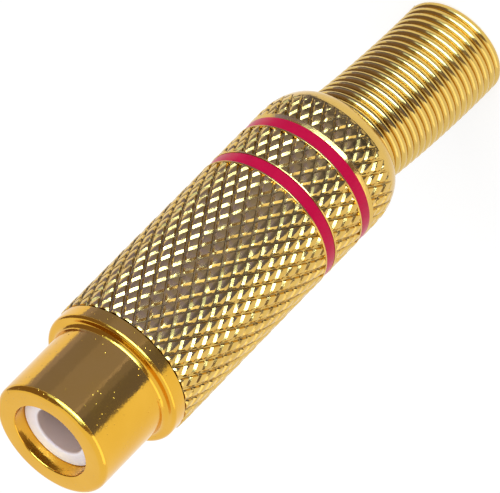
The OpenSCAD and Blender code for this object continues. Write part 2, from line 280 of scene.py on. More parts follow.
clear_tube, tree, shader, place = new_material("clear_extruded_tube")
across, down = 1 / (DIE_LINE_WIDTH * MM), 1 / (DIE_LINE_LENGTH * MM)
lines = add_node(tree, "ShaderNodeMapping",
                 {"Vector": place, "Scale": (across, across, down)}, vector_type="POINT")
die_lines = add_node(tree, "ShaderNodeTexNoise", {"Vector": lines, "Scale": 1.0})
relief = add_node(tree, "ShaderNodeBump",
                  {"Height": die_lines.outputs["Fac"], "Strength": 0.3, "Distance": FINE_RELIEF * MM})
set_inputs(tree, shader, {
    "Base Color": linear("#E6EAE6"), "Normal": relief, "Roughness": 0.16, "IOR": 1.46, "Alpha": 0.45})
print("hidden finishes", tin_plate.name, clear_tube.name)

# %% [markdown]
# A lathe makes most of this connector, so one function turns an outline of radius and height into a closed
# ring of faces. Real turned edges are never quite sharp, and on polished gold each edge shows as a thin
# bright line, so a second function rounds the corners of an outline first.


# %% Lathe helpers
LATHE_STEPS = 192
CORNER_STEPS = 7
SHARP_EDGE = math.radians(28)


def rounded(corners):
    """Rounds an outline. Each corner is (radius, height, rounding), and the outline is closed."""
    points = []
    for i, (r, z, size) in enumerate(corners):
        here = Vector((r, z))
        before = Vector(corners[i - 1][:2]) - here
        after = Vector(corners[(i + 1) % len(corners)][:2]) - here
        if size <= 0:
            points.append(here)
            continue
        half_angle = before.angle(after) / 2
        reach = size / math.tan(half_angle)
        start = here + before.normalized() * reach
        end = here + after.normalized() * reach
        inward = (before.normalized() + after.normalized()).normalized()
        centre = here + inward * (size / math.sin(half_angle))
        for k in range(CORNER_STEPS + 1):
            mix = (start - centre).lerp(end - centre, k / CORNER_STEPS)
            points.append(centre + mix.normalized() * size)
    return points


def turned(outline):
    """Points and faces of a closed outline turned round the Z axis."""
    points = []
    faces = []
    count = len(outline)
    for k in range(LATHE_STEPS):
        angle = 2 * math.pi * k / LATHE_STEPS
        points += [(r * math.cos(angle), r * math.sin(angle), z) for r, z in outline]
        for i in range(count):
            here, after = k * count, (k + 1) % LATHE_STEPS * count
            above = (i + 1) % count
            faces.append((here + i, here + above, after + above, after + i))
    return points, faces


def make_piece(name, points, faces, material):
    """Makes an object from points in millimetres, with its faces outwards and its soft edges smooth."""
    mesh = bpy.data.meshes.new(name)
    mesh.from_pydata([tuple(value * MM for value in point) for point in points], [], faces)
    work = bmesh.new()
    work.from_mesh(mesh)
    bmesh.ops.recalc_face_normals(work, faces=work.faces)
    work.to_mesh(mesh)
    work.free()
    mesh.shade_smooth()
    mesh.set_sharp_from_angle(angle=SHARP_EDGE)
    mesh.materials.append(material)
    piece = bpy.data.objects.new(name, mesh)
    bpy.context.scene.collection.objects.link(piece)
    print(name, "has", len(mesh.polygons), "faces")
    return piece


print("one turn has", LATHE_STEPS, "steps")

# %% [markdown]
# The shell is the outer contact: nose, flange and threaded tail, turned from one brass bar and plated. Its
# sizes are those of the CAD part. Here its edges have finer roundings, which the bright lines in the
# photograph ask for, and the tail gets its real thread, which shows once the barrel is screwed off.

# %% Shell outline
NOSE_R, MOUTH_R, FLANGE_R = 4.15, 2.7, 4.9
Z_MOUTH, Z_NOSE, Z_FLANGE = 41.04, 35.04, 33.94
THREAD_R, THREAD_ROOT_R, RELIEF_R = 4.26, 3.84, 3.76
Z_THREAD_TOP, Z_THREAD_LOW, Z_TAIL = 33.54, 29.04, 27.79
SPIGOT_R, RECESS_R, LIP_R = 3.6, 3.3, 3.05
Z_RECESS, Z_TAG = 30.64, 28.19
FLANGE_BREAK = 0.05

shell_outline = rounded([
    (LIP_R, Z_TAIL, 0.03),
    (SPIGOT_R, Z_TAIL, 0.2),
    (SPIGOT_R, Z_THREAD_LOW, 0),
    (THREAD_ROOT_R, Z_THREAD_LOW, 0),
    (THREAD_ROOT_R, Z_THREAD_TOP, 0),
    (RELIEF_R, Z_THREAD_TOP, 0),
    (RELIEF_R, Z_FLANGE, 0.1),
    (FLANGE_R - FLANGE_BREAK, Z_FLANGE, 0.01),
    (FLANGE_R, Z_FLANGE + FLANGE_BREAK, 0.02),
    (FLANGE_R, Z_NOSE, 0.25),
    (NOSE_R, Z_NOSE, 0.35),
    (NOSE_R, Z_MOUTH, 0.4),
    (MOUTH_R, Z_MOUTH, 0.09),
    (MOUTH_R, Z_RECESS, 0),
    (RECESS_R, Z_RECESS, 0),
    (RECESS_R, Z_TAG, 0),
    (LIP_R, Z_TAG, 0.03),
])
print("shell outline has", len(shell_outline), "points")

# %% [markdown]
# A thread is a V that climbs round the tail. Each ring of points across the V is turned a little and raised
# a little from the one before, and the V fades in and out at both ends, as the tool leaves it. Its foot is
# sunk into the tail, so that no gap shows.

# %% Shell with its thread
THREAD_PITCH, THREAD_TURNS, THREAD_STEPS = 0.75, 6, 96
CREST_LAND, ROOT_LAND = 0.1, 0.08
FADE_STEPS, FADED_HEIGHT, SUNK = 12, 0.02, 0.1

points, faces = turned(shell_outline)
first = len(points)
last_step = (THREAD_TURNS - 1) * THREAD_STEPS
base = THREAD_ROOT_R - SUNK
half = (THREAD_PITCH - ROOT_LAND) / 2
for i in range(last_step + 1):
    angle = 2 * math.pi * i / THREAD_STEPS
    middle = Z_THREAD_LOW + THREAD_PITCH * (0.5 + i / THREAD_STEPS)
    fade = min(1, i / FADE_STEPS, (last_step - i) / FADE_STEPS)
    crest = THREAD_ROOT_R + FADED_HEIGHT + (THREAD_R - THREAD_ROOT_R - FADED_HEIGHT) * fade
    section = [(base, -half), (THREAD_ROOT_R, -half), (crest, -CREST_LAND / 2),
               (crest, CREST_LAND / 2), (THREAD_ROOT_R, half), (base, half)]
    sides = len(section)
    points += [(r * math.cos(angle), r * math.sin(angle), middle + z) for r, z in section]
    if i < last_step:
        start = first + i * sides
        for k in range(sides):
            nxt = (k + 1) % sides
            faces.append((start + k, start + nxt, start + sides + nxt, start + sides + k))
last = first + last_step * sides
faces.append(tuple(first + k for k in range(sides)))
faces.append(tuple(last + k for k in range(sides)))
shell = make_piece("threaded_shell", points, faces, polished_gold)

# %% [markdown]
# The knurl is pressed by two hardened wheels, one with ridges that lean left and one with ridges that lean
# right. Between their grooves small pads stay. All 34 pads round the barrel and all the rows along it are
# the same, so one is made, and Geometry Nodes set it on the cylinder again and again. A pad is steep on its
# side to the spring and slopes away on its side to the nose, which is guessed from the glints in the
# photograph. Its depth at each point is a soft blend of the depths that the two wheels leave, which rounds
# its corners.

# %% One pad of the knurl
BARREL_R = 5.012
KNURL_STARTS = 34
KNURL_DEPTH = 0.175
KNURL_ACROSS = 2 * math.pi * BARREL_R / KNURL_STARTS
KNURL_ALONG = 1.58
PAD_PROFILE = [(0, 0), (0.05, 0.05), (0.13, 0.85), (0.24, 0.97), (0.42, 1),
               (0.6, 0.93), (0.76, 0.7), (0.95, 0.04), (1, 0)]
BLEND = 2.5

points, faces, depths = [], [], []
side = len(PAD_PROFILE)
for i, (a, height_a) in enumerate(PAD_PROFILE):
    for j, (b, height_b) in enumerate(PAD_PROFILE):
        arc = (a - b) * KNURL_ACROSS / 2 / BARREL_R
        depth = min(1, ((1 - height_a) ** BLEND + (1 - height_b) ** BLEND) ** (1 / BLEND))
        r = BARREL_R - KNURL_DEPTH * depth
        points.append((r * math.cos(arc), r * math.sin(arc), (a + b - 1) * KNURL_ALONG / 2))
        depths.append(depth)
        if i and j:
            faces.append(((i - 1) * side + j - 1, i * side + j - 1, i * side + j, (i - 1) * side + j))
pad_mesh = bpy.data.meshes.new("knurl_pad")
pad_mesh.from_pydata([tuple(value * MM for value in point) for point in points], [], faces)
pad_mesh.attributes.new("groove_depth", "FLOAT", "POINT").data.foreach_set("value", depths)
pad = bpy.data.objects.new("knurl_pad", pad_mesh)
print("a pad is", round(KNURL_ACROSS, 3), "by", KNURL_ALONG, "mm and has", len(faces), "faces")

# %% [markdown]
# Geometry Nodes make a mesh by a recipe of nodes. The first helper starts such a tree, with named inputs
# for its sizes. The second runs the tree on an empty object and keeps the result as a plain mesh, because
# the other steps and the export need a mesh that is really there.


# %% Geometry Nodes helpers
def new_tree(name, sockets):
    """Starts a node tree with named inputs and one geometry output."""
    tree = bpy.data.node_groups.new(name, "GeometryNodeTree")
    for socket_name, kind in sockets:
        tree.interface.new_socket(socket_name, in_out="INPUT", socket_type=kind)
    tree.interface.new_socket("Geometry", in_out="OUTPUT", socket_type="NodeSocketGeometry")
    return tree, add_node(tree, "NodeGroupInput").outputs


def mesh_from_tree(name, tree, values):
    """Runs a node tree on an empty object and returns the result as a plain mesh."""
    carrier = bpy.data.objects.new(name, bpy.data.meshes.new(name + "_start"))
    bpy.context.scene.collection.objects.link(carrier)
    modifier = carrier.modifiers.new(name, "NODES")
    modifier.node_group = tree
    for socket in tree.interface.items_tree:
        if socket.in_out == "INPUT":
            modifier[socket.identifier] = values[socket.name]
    evaluated = carrier.evaluated_get(bpy.context.evaluated_depsgraph_get())
    mesh = bpy.data.meshes.new_from_object(evaluated)
    carrier.modifiers.remove(modifier)
    bpy.data.objects.remove(carrier)
    print(name, "grew", len(mesh.polygons), "faces")
    return mesh


# %% [markdown]
# The tree sets the pads in rows round the Z axis. A point's number, divided by the pads in a row, gives its
# row, and what is left over gives its place in the row. Every second row is turned by half a step, which
# makes the diamonds. The rows go on past both ends of the barrel, and what lies beyond is cut off later.
# The tree has no randomness, so it needs no seed, and it ends in real geometry with a finish, because an
# export can't hold instances.

# %% Rows of pads
KNURL_ROWS = 29
KNURL_FIRST_ROW = 12.48

tree, given = new_tree("knurl_rows", [
    ("Pad", "NodeSocketObject"), ("Starts", "NodeSocketInt"), ("Rows", "NodeSocketInt"),
    ("First Row", "NodeSocketFloat"), ("Row Step", "NodeSocketFloat"), ("Finish", "NodeSocketMaterial")])
starts = given["Starts"]
index = add_node(tree, "GeometryNodeInputIndex")
laps = add_node(tree, MATH, {0: index, 1: starts}, operation="DIVIDE")
row = add_node(tree, MATH, {0: laps}, operation="FLOOR")
in_row = add_node(tree, MATH, {0: index, 1: starts}, operation="MODULO")
odd = add_node(tree, MATH, {0: row, 1: 2.0}, operation="MODULO")
half_step = add_node(tree, MATH, {0: odd, 1: 0.5}, operation="MULTIPLY")
steps = add_node(tree, MATH, {0: in_row, 1: half_step}, operation="ADD")
turn = add_node(tree, MATH, {0: steps, 1: starts}, operation="DIVIDE")
angle = add_node(tree, MATH, {0: turn, 1: 2 * math.pi}, operation="MULTIPLY")
climb = add_node(tree, MATH, {0: row, 1: given["Row Step"]}, operation="MULTIPLY")
height = add_node(tree, MATH, {0: given["First Row"], 1: climb}, operation="ADD")
spot = add_node(tree, "ShaderNodeCombineXYZ", {"Z": height})
spin = add_node(tree, "ShaderNodeCombineXYZ", {"Z": angle})
spin = add_node(tree, "FunctionNodeEulerToRotation", {0: spin})
count = add_node(tree, MATH, {0: starts, 1: given["Rows"]}, operation="MULTIPLY")
spots = add_node(tree, "GeometryNodePoints", {"Count": count, "Position": spot})
one = add_node(tree, "GeometryNodeObjectInfo", {"Object": given["Pad"]})
copies = add_node(tree, "GeometryNodeInstanceOnPoints",
                  {"Points": spots, "Instance": one.outputs["Geometry"], "Rotation": spin})
real = add_node(tree, "GeometryNodeRealizeInstances", {"Geometry": copies})
done = add_node(tree, "GeometryNodeSetMaterial", {"Geometry": real, "Material": given["Finish"]})
add_node(tree, "NodeGroupOutput", {"Geometry": done})

bpy.context.scene.collection.objects.link(pad)
knurl_mesh = mesh_from_tree("knurl", tree, {
    "Pad": pad, "Starts": KNURL_STARTS, "Rows": KNURL_ROWS, "Finish": knurl_gold,
    "First Row": KNURL_FIRST_ROW * MM, "Row Step": KNURL_ALONG / 2 * MM})
bpy.data.objects.remove(pad)

# %% [markdown]
# On the real barrel the whole bar is knurled first. Then the lathe rounds its rear end and breaks its front
# edge, and handling rubs the crests a little here and there. The mesh follows the same order: each point is
# pulled in to the turned outline, so that the pattern runs out on the rounded end, and a noise lowers it by
# up to about 0.02 mm. Where the end is rounded, the edges are first cut in two, so that they can bend.

# %% Turn the knurl's ends
BARREL_REAR, BARREL_FRONT = 11.3, 33.9
SHOULDER_LEN, REAR_FACE_R = 2.7, 3.88
FRONT_BREAK, BEND_MARGIN, MERGE = 0.05, 0.4, 0.002
WEAR, WEAR_SIZE, WEAR_LEVEL = 0.02, 0.5, 0.3


def turned_radius(z):
    """The barrel's turned outline: how far out it reaches at a height."""
    if z < BARREL_REAR + SHOULDER_LEN:
        level_in = max(-1, min(1, 1 - (z - BARREL_REAR) / SHOULDER_LEN))
        return REAR_FACE_R + (BARREL_R - REAR_FACE_R) * math.sqrt(1 - level_in ** 2)
    return BARREL_R - max(0, z - (BARREL_FRONT - FRONT_BREAK))


knurl = bmesh.new()
knurl.from_mesh(knurl_mesh)
bpy.data.meshes.remove(knurl_mesh)
bmesh.ops.scale(knurl, vec=(1 / MM, 1 / MM, 1 / MM), verts=knurl.verts)
bmesh.ops.remove_doubles(knurl, verts=knurl.verts, dist=MERGE)
bend_top = BARREL_REAR + SHOULDER_LEN + BEND_MARGIN
low_edges = [e for e in knurl.edges if max(v.co.z for v in e.verts) < bend_top]
bmesh.ops.subdivide_edges(knurl, edges=low_edges, cuts=1, use_grid_fill=True)
for v in knurl.verts:
    r = math.hypot(v.co.x, v.co.y)
    rub = noise.noise(v.co / WEAR_SIZE, noise_basis="PERLIN_ORIGINAL")
    wear = WEAR * min(0, rub - WEAR_LEVEL)
    factor = min(1 + wear / r, turned_radius(v.co.z) / r)
    v.co.x *= factor
    v.co.y *= factor
print("knurl has", len(knurl.verts), "points")

# %% [markdown]
# The grooves for the two rings cut the knurl into three bands. A plane cuts a mesh with one call, so each
# band is a copy of the knurl that is cut twice. A cut leaves the skin of the knurl open, so a smaller ring
# of points, hidden inside the barrel, is joined to each rim. The helper walks round both rings at once and
# makes a triangle at each step.


# %% Join two rings of points
def angle_of(v):
    """Where a point lies round the Z axis."""
    return math.atan2(v.co.y, v.co.x)


def join_rings(work, first_ring, second_ring):
    """Joins two rings of points round the axis with triangles."""
    first_ring, second_ring = sorted(first_ring, key=angle_of), sorted(second_ring, key=angle_of)
    n, m = len(first_ring), len(second_ring)
    i = j = 0
    while i < n or j < m:
        a, b = first_ring[i % n], second_ring[j % m]
        next_a, next_b = first_ring[(i + 1) % n], second_ring[(j + 1) % m]
        reach_a = angle_of(next_a) + (2 * math.pi if i + 1 >= n else 0)
        reach_b = angle_of(next_b) + (2 * math.pi if j + 1 >= m else 0)
        if j >= m or (i < n and reach_a <= reach_b):
            work.faces.new((a, next_a, b))
            i += 1
        else:
            work.faces.new((a, next_b, b))
            j += 1


# %% [markdown]
# A wall between its two hidden rings makes each band a closed solid. The places of the rings, with their
# grooves and the lips beside them, say where a band ends.

# %% Cut the knurl into three bands
RING_MIDDLES = (19.15, 15.5)
RING_W, RING_PLAY = 0.85, 0.02
FRONT_LIP, REAR_LIPS = 0.11, (0.11, 0.3)
CORE_PLAY = 0.004
CORE_R = BARREL_R - KNURL_DEPTH - CORE_PLAY
HIDDEN_R, HIDDEN_STEPS = 4.74, 68
CUT_EXACT, ON_CUT = 1e-5, 1e-3


def knurled_band(low, high):
    """The part of the knurl between two heights, as a closed solid."""
    band = knurl.copy()
    for z, keep in ((low, 1), (high, -1)):
        everything = band.verts[:] + band.edges[:] + band.faces[:]
        bmesh.ops.bisect_plane(band, geom=everything, plane_co=(0, 0, z), plane_no=(0, 0, keep),
                               clear_inner=True, dist=CUT_EXACT)
    hidden = []
    for z in (low, high):
        rim = [v for v in band.verts if v.is_boundary and abs(v.co.z - z) < ON_CUT]
        angles = [2 * math.pi * k / HIDDEN_STEPS for k in range(HIDDEN_STEPS)]
        ring = [band.verts.new((HIDDEN_R * math.cos(a), HIDDEN_R * math.sin(a), z)) for a in angles]
        join_rings(band, rim, ring)
        hidden.append(ring)
    for k in range(HIDDEN_STEPS):
        nxt = (k + 1) % HIDDEN_STEPS
        band.faces.new((hidden[0][k], hidden[0][nxt], hidden[1][nxt], hidden[1][k]))
    bmesh.ops.recalc_face_normals(band, faces=band.faces)
    return band


groove_half = RING_W / 2 + RING_PLAY
core_share = (CORE_R - REAR_FACE_R) / (BARREL_R - REAR_FACE_R)
knurl_low = BARREL_REAR + SHOULDER_LEN * (1 - math.sqrt(1 - core_share ** 2))
band_ends = [
    (knurl_low, RING_MIDDLES[1] - groove_half - REAR_LIPS[1]),
    (RING_MIDDLES[1] + groove_half + FRONT_LIP, RING_MIDDLES[0] - groove_half - REAR_LIPS[0]),
    (RING_MIDDLES[0] + groove_half + FRONT_LIP, BARREL_FRONT)]
bands = [knurled_band(low, high) for low, high in band_ends]
for (low, high), band in zip(band_ends, bands):
    open_edges = sum(1 for e in band.edges if not e.is_manifold)
    print("band from", round(low, 2), "to", round(high, 2), "has", len(band.faces), "faces,",
          "open edges", open_edges)

# %% [markdown]
# Under the knurl lies the turned core of the barrel: its bore, its rear wall that holds the spring, its
# smooth rounded end, and the two grooves. Each groove has a thin raised lip on either side, rounded over by
# the plating. In the photograph the lips are the fine gold lines along the red. The rearmost lip is wider,
# and it slopes, so it is the one that shows a white glint. The core ends a hair behind the knurl's front
# face, so that no two faces share a plane.

# %% Barrel core
REAR_HOLE_R, BORE_R, THREAD_BORE_R = 3.75, 4.2, 4.3
Z_SEAT, Z_SEAT_TOP, Z_THREAD_END = 12.7, 13.0, 28.74
GROOVE_R, LIP_TOP, LIP_SLOPE = 4.72, 5.008, 0.32
SHOULDER_STEPS = 24
CORE_STEP = 0.005


def groove(middle, rear_lip):
    """Outline of one ring's groove and its two lips, from below to above."""
    low, high = middle - groove_half, middle + groove_half
    return [(CORE_R, low - rear_lip, 0), (LIP_TOP, low - rear_lip, 0.03),
            (LIP_TOP - LIP_SLOPE * rear_lip, low, 0.02), (GROOVE_R, low, 0),
            (GROOVE_R, high, 0), (LIP_TOP, high, 0.03),
            (LIP_TOP, high + FRONT_LIP, 0.05), (CORE_R, high + FRONT_LIP, 0)]


core_end = math.asin(core_share)
shoulder = []
for k in range(SHOULDER_STEPS + 1):
    swing = core_end * k / SHOULDER_STEPS
    shoulder.append((REAR_FACE_R + (BARREL_R - REAR_FACE_R) * math.sin(swing),
                     BARREL_REAR + SHOULDER_LEN * (1 - math.cos(swing)), 0))
core_outline = rounded(
    [(REAR_HOLE_R, BARREL_REAR, 0.05)] + shoulder
    + groove(RING_MIDDLES[1], REAR_LIPS[1]) + groove(RING_MIDDLES[0], REAR_LIPS[0])
    + [(CORE_R, BARREL_FRONT - CORE_STEP, 0), (THREAD_BORE_R, BARREL_FRONT - CORE_STEP, 0.06),
       (THREAD_BORE_R, Z_THREAD_END, 0), (BORE_R, Z_THREAD_END, 0), (BORE_R, Z_SEAT_TOP, 0),
       (REAR_HOLE_R, Z_SEAT, 0)])
points, faces = turned(core_outline)
barrel = make_piece("knurled_barrel", points, faces, knurl_gold)

# %% [markdown]
# The bands and the core become one mesh, because the barrel is one piece of metal. Each band is shaded
# first, with a smaller angle than the turned edges have, so that the edges of its pads stay crisp.

# %% Whole barrel
SHARP_PAD_EDGE = math.radians(20)

whole = bmesh.new()
whole.from_mesh(barrel.data)
for band in bands:
    bmesh.ops.scale(band, vec=(MM, MM, MM), verts=band.verts)
    part = bpy.data.meshes.new("band")
    band.to_mesh(part)
    band.free()
    part.shade_smooth()
    part.set_sharp_from_angle(angle=SHARP_PAD_EDGE)
    whole.from_mesh(part)
    bpy.data.meshes.remove(part)
knurl.free()
whole.to_mesh(barrel.data)
whole.free()
print("whole barrel has", len(barrel.data.polygons), "faces")

# %% [markdown]
# Enamel shrinks a little as it sets. It clings to the walls of its groove and sinks slightly in between, so
# each ring gets rounded edges and lies just under the lips.

# %% Enamelled rings
RING_TOP = 4.955
rings = []
for name, middle in zip(("front_enamel_ring", "rear_enamel_ring"), RING_MIDDLES):
    low, high = middle - RING_W / 2, middle + RING_W / 2
    outline = rounded([(GROOVE_R + RING_PLAY, low, 0), (RING_TOP, low, 0.03),
                       (RING_TOP, high, 0.03), (GROOVE_R + RING_PLAY, high, 0)])
    points, faces = turned(outline)
    rings.append(make_piece(name, points, faces, crimson_enamel))

# %% [markdown]
# The white insulator is moulded, so all its edges are a little round. A finer outline than the CAD model's
# shows this in the mouth, where the light runs round the edge of the hole.

# %% Insulator
CAVITY_R, COLLAR_R, FIT = 2.0, 2.4, 0.02
Z_COLLAR, Z_SHOULDER, Z_CAVITY, Z_FACE = 27.64, 28.54, 38.49, 40.09
insulator_outline = rounded([
    (CAVITY_R, Z_COLLAR, 0.05), (COLLAR_R, Z_COLLAR, 0.05), (COLLAR_R, Z_SHOULDER, 0),
    (RECESS_R - FIT, Z_SHOULDER, 0), (RECESS_R - FIT, Z_RECESS, 0), (MOUTH_R - FIT, Z_RECESS, 0),
    (MOUTH_R - FIT, Z_FACE, 0.1), (FACE_HOLE_R, Z_FACE, 0.16), (FACE_HOLE_R, Z_CAVITY, 0.03),
    (CAVITY_R, Z_CAVITY, 0)])
points, faces = turned(insulator_outline)
moulding = make_piece("moulded_insulator", points, faces, white_plastic)

# %% [markdown]
# The strain relief is one length of wire, close wound on a mandrel. Its path follows a rule, so Geometry
# Nodes bend a straight line to it: the wire climbs one pitch a turn, and near its inner end it widens into
# a turn that the barrel holds. In the photograph the free end has sagged, so each turn is also slipped
# sideways, the more the nearer it is to that end.

# %% Path of the wire
tree, given = new_tree("close_wound_coil", [
    ("Turns", "NodeSocketFloat"), ("Points", "NodeSocketInt"), ("Pitch", "NodeSocketFloat"),
    ("Start Height", "NodeSocketFloat"), ("Coil Radius", "NodeSocketFloat"),
    ("Wire Radius", "NodeSocketFloat"), ("Wire Sides", "NodeSocketInt"),
    ("Widening", "NodeSocketFloat"), ("Wide Turns", "NodeSocketFloat"),
    ("Taper Turns", "NodeSocketFloat"), ("Sag", "NodeSocketFloat"), ("Bend Height", "NodeSocketFloat"),
    ("Finish", "NodeSocketMaterial")])
line = add_node(tree, "GeometryNodeCurvePrimitiveLine")
dense = add_node(tree, "GeometryNodeResampleCurve", {"Curve": line, "Count": given["Points"]})
along = add_node(tree, "GeometryNodeSplineParameter").outputs["Factor"]
turn = add_node(tree, MATH, {0: along, 1: given["Turns"]}, operation="MULTIPLY")
wide_from = add_node(tree, MATH, {0: given["Turns"], 1: given["Wide Turns"]}, operation="SUBTRACT")
taper_from = add_node(tree, MATH, {0: wide_from, 1: given["Taper Turns"]}, operation="SUBTRACT")
flare = add_node(tree, "ShaderNodeMapRange",
                 {"Value": turn, "From Min": taper_from, "From Max": wide_from, "To Max": given["Widening"]},
                 interpolation_type="SMOOTHSTEP")
radius = add_node(tree, MATH, {0: given["Coil Radius"], 1: flare}, operation="ADD")
angle = add_node(tree, MATH, {0: turn, 1: 2 * math.pi}, operation="MULTIPLY")
rise = add_node(tree, MATH, {0: turn, 1: given["Pitch"]}, operation="MULTIPLY")
climb = add_node(tree, MATH, {0: given["Start Height"], 1: rise}, operation="ADD")
above = add_node(tree, MATH, {0: climb, 1: 0.0}, operation="MAXIMUM")
share = add_node(tree, MATH, {0: above, 1: given["Bend Height"]}, operation="DIVIDE")
square = add_node(tree, MATH, {0: share, 1: 2.0}, operation="POWER")
slip = add_node(tree, MATH, {0: 1.0, 1: square}, operation="SUBTRACT")
slip = add_node(tree, MATH, {0: slip, 1: 0.0}, operation="MAXIMUM")
slip = add_node(tree, MATH, {0: given["Sag"], 1: slip}, operation="MULTIPLY")
cosine = add_node(tree, MATH, {0: angle}, operation="COSINE")
sine = add_node(tree, MATH, {0: angle}, operation="SINE")
round_x = add_node(tree, MATH, {0: radius, 1: cosine}, operation="MULTIPLY")
round_y = add_node(tree, MATH, {0: radius, 1: sine}, operation="MULTIPLY")
slipped_x = add_node(tree, MATH, {0: round_x, 1: slip}, operation="SUBTRACT")
spot = add_node(tree, "ShaderNodeCombineXYZ", {"X": slipped_x, "Y": round_y, "Z": climb})
path = add_node(tree, "GeometryNodeSetPosition", {"Geometry": dense, "Position": spot})
print("the rule for the path has", len(tree.nodes), "nodes")

# %% [markdown]
# A curve becomes a wire when a circle is swept along it. The outer end of the real spring is ground flat,
# so the tree lifts what would lie below the floor up to it. Like the knurl's tree, it ends in real geometry
# with a finish.

# %% Sweep the wire
round_wire = add_node(tree, "GeometryNodeCurvePrimitiveCircle",
                      {"Resolution": given["Wire Sides"], "Radius": given["Wire Radius"]})
wire = add_node(tree, "GeometryNodeCurveToMesh",
                {"Curve": path, "Profile Curve": round_wire, "Fill Caps": True})
position = add_node(tree, "GeometryNodeInputPosition")
here = add_node(tree, "ShaderNodeSeparateXYZ", {0: position})
level_z = add_node(tree, MATH, {0: here.outputs["Z"], 1: 0.0}, operation="MAXIMUM")
ground = add_node(tree, "ShaderNodeCombineXYZ",
                  {"X": here.outputs["X"], "Y": here.outputs["Y"], "Z": level_z})
flat_foot = add_node(tree, "GeometryNodeSetPosition", {"Geometry": wire, "Position": ground})
real = add_node(tree, "GeometryNodeRealizeInstances", {"Geometry": flat_foot})
done = add_node(tree, "GeometryNodeSetMaterial", {"Geometry": real, "Material": given["Finish"]})
add_node(tree, "NodeGroupOutput", {"Geometry": done})
print("coil tree has", len(tree.nodes), "nodes")

# %% [markdown]
# The spring is a wire 0.58 mm thick in a coil 7.2 mm across, with a hair of room between its turns. Its
# sizes are the CAD model's. The CAD wire has eight flat sides. Here it has eighteen and is shaded smooth,
# so that the glints run along it without a kink. The middle of the wire starts a quarter of its thickness
# below the floor, so the first turn is ground down to a thin end.

# %% Strain spring
WIRE_R, COIL_R, COIL_PITCH = 0.29, 3.31, 0.59
COIL_START, COIL_TURNS = -0.145, 23.725
COIL_WIDENING, WIDE_TURNS, TAPER_TURNS = 0.5, 0.75, 0.6
SAG, BEND_HEIGHT = 0.75, 12
STEPS_A_TURN, WIRE_SIDES = 60, 18
WIRE_MERGE = 1e-7
SHARP_WIRE_END = math.radians(40)

coil_mesh = mesh_from_tree("coil", tree, {
    "Turns": COIL_TURNS, "Points": round(COIL_TURNS * STEPS_A_TURN), "Pitch": COIL_PITCH * MM,
    "Start Height": COIL_START * MM, "Coil Radius": COIL_R * MM, "Wire Radius": WIRE_R * MM,
    "Wire Sides": WIRE_SIDES, "Widening": COIL_WIDENING * MM, "Wide Turns": WIDE_TURNS,
    "Taper Turns": TAPER_TURNS, "Sag": SAG * MM, "Bend Height": BEND_HEIGHT * MM, "Finish": wire_gold})
work = bmesh.new()
work.from_mesh(coil_mesh)
bmesh.ops.remove_doubles(work, verts=work.verts, dist=WIRE_MERGE)
bmesh.ops.recalc_face_normals(work, faces=work.faces)
work.to_mesh(coil_mesh)
work.free()
coil_mesh.shade_smooth()
coil_mesh.set_sharp_from_angle(angle=SHARP_WIRE_END)
coil = bpy.data.objects.new("strain_relief_coil", coil_mesh)
bpy.context.scene.collection.objects.link(coil)
print("coil from", round(min(v.co.z for v in coil_mesh.vertices) / MM, 3),
      "to", round(max(v.co.z for v in coil_mesh.vertices) / MM, 3), "mm")

# %% [markdown]
# Now each piece is tied to the frame. A piece that stands for a CAD node replaces it and rides on the same
# body, so the barrel turns, the shell slides out, and the spring stays. The nodes whose plain shapes are
# right only get a finish.

# %% Tie the pieces to the frame
for piece, body, node, slot in (
        (shell, "socket", "socket_shell", "gold_plate"),
        (moulding, "socket", "insulator", "white_plastic"),
        (barrel, "barrel", "barrel", "gold_plate"),
        (rings[0], "barrel", "front_colour_ring", "crimson_enamel"),
        (rings[1], "barrel", "rear_colour_ring", "crimson_enamel"),
        (coil, "spring", "strain_spring", "spring_gold")):
    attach(piece, body)
    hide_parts(node)
    print(piece.name, "replaces", node, "on", body)

for node, material in (("centre_contact", contact_gold), ("ground_tag", tin_plate),
                       ("insulating_sleeve", clear_tube)):
    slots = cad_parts[node].data.materials
    slots.clear()
    slots.append(material)
    print(node, "is finished in", material.name)

# %% [markdown]
# Polished metal shows its surroundings, so the light for it is built from cards, as in a studio. The
# photograph shows white at both sides of the round parts, a dark band between, and hard white glints on the
# coil and the knurl. Most cards are patches of a ball round the connector, given by their angles, so that
# one is easily moved along a reflection. Only reflections see them: the camera and the shadows don't.


# %% Studio helpers
def facing(azimuth, elevation, distance):
    """A place round the connector. Azimuth 0 is the camera's side, and more is the picture's lower right."""
    a, e = math.radians(azimuth), math.radians(elevation)
    return (-math.sin(a) * math.cos(e) * distance, -math.cos(a) * math.cos(e) * distance,
            math.sin(e) * distance)


def glow(name, strength, colour):
    """A plain glowing card material."""
    material = bpy.data.materials.new(name)
    material.use_nodes = True
    tree = material.node_tree
    tree.nodes.clear()
    light = add_node(tree, "ShaderNodeEmission", {"Color": linear(colour), "Strength": strength})
    add_node(tree, "ShaderNodeOutputMaterial", {"Surface": light})
    return material


def card(name, rows, material):
    """A card from rows of points, which only reflections see."""
    mesh = bpy.data.meshes.new(name)
    width = len(rows[0])
    faces = [(r * width + k, r * width + k + 1, (r + 1) * width + k + 1, (r + 1) * width + k)
             for r in range(len(rows) - 1) for k in range(width - 1)]
    mesh.from_pydata([point for row in rows for point in row], [], faces)
    mesh.materials.append(material)
    item = bpy.data.objects.new(name, mesh)
    bpy.context.scene.collection.objects.link(item)
    item.visible_camera = False
    item.visible_diffuse = False
    item.visible_transmission = False
    item.visible_shadow = False
    print(name, "has", len(faces), "panels")


def sweep(azimuths, elevations, distance):
    """Rows of points on a ball round the connector."""
    return [[facing(a, e, distance) for a in azimuths] for e in elevations]


# %% [markdown]
# The floor is plain and pale. To the camera and to reflections it also glows a little, which lifts it to
# the white of the photograph's background, while a faint shadow of the connector stays on it. The world
# does the same for what lies beyond.

